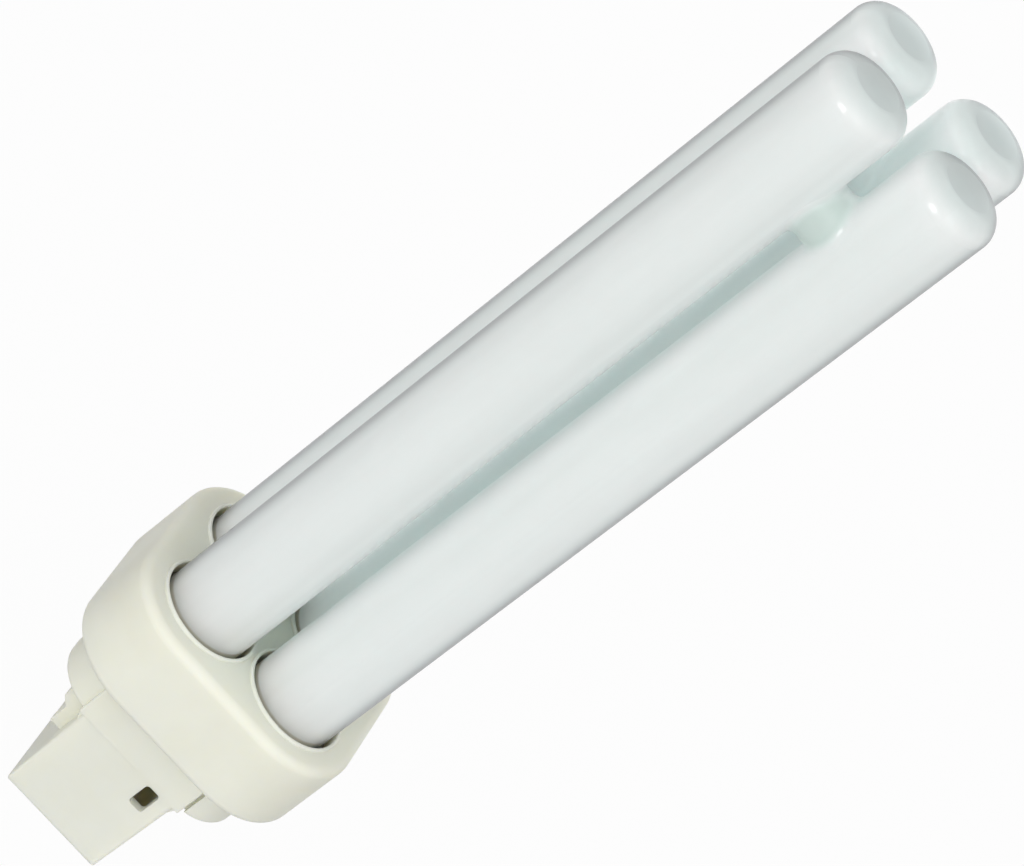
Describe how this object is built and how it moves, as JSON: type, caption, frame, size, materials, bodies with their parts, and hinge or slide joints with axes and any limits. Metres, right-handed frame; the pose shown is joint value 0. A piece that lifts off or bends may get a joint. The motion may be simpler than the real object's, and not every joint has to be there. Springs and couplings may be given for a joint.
{
  "type": "fluorescent lamp",
  "caption": "Plug-in compact fluorescent lamp: white glass limbs bridged into U shapes, a cream rounded-square collar and a rectangular plug post with key slots and guarded contact pins.",
  "frame": {"origin": "middle of the seat, the plane of the collar's underside, on the lamp's long axis", "axes": "+Z along the lamp from the plug to the tube tips, +X from one contact pin to the other, -Y towards the viewer of the picture"},
  "size_m": [0.034, 0.034, 0.1415],
  "materials": {
    "coated_glass": "clear glass over a milky white coating, glossy",
    "cream_plastic": "satin moulded plastic, cream",
    "cement": "dull grey-brown cement",
    "pin_metal": "bright turned brass",
    "starter_glass": "clear glass",
    "capacitor_resin": "dipped resin, brown",
    "lead_wire": "plated wire"
  },
  "bodies": {
    "root": {"discharge_tube": "coated_glass", "tube_collar": "cream_plastic", "plug_cap": "cream_plastic", "tube_cement": "cement", "contact_pin_left": "pin_metal", "contact_pin_right": "pin_metal", "glow_starter": "starter_glass", "starter_capacitor": "capacitor_resin", "pin_lead_left": "lead_wire", "pin_lead_right": "lead_wire", "starter_lead_left": "lead_wire", "starter_lead_right": "lead_wire"}
  },
  "joints": []
}
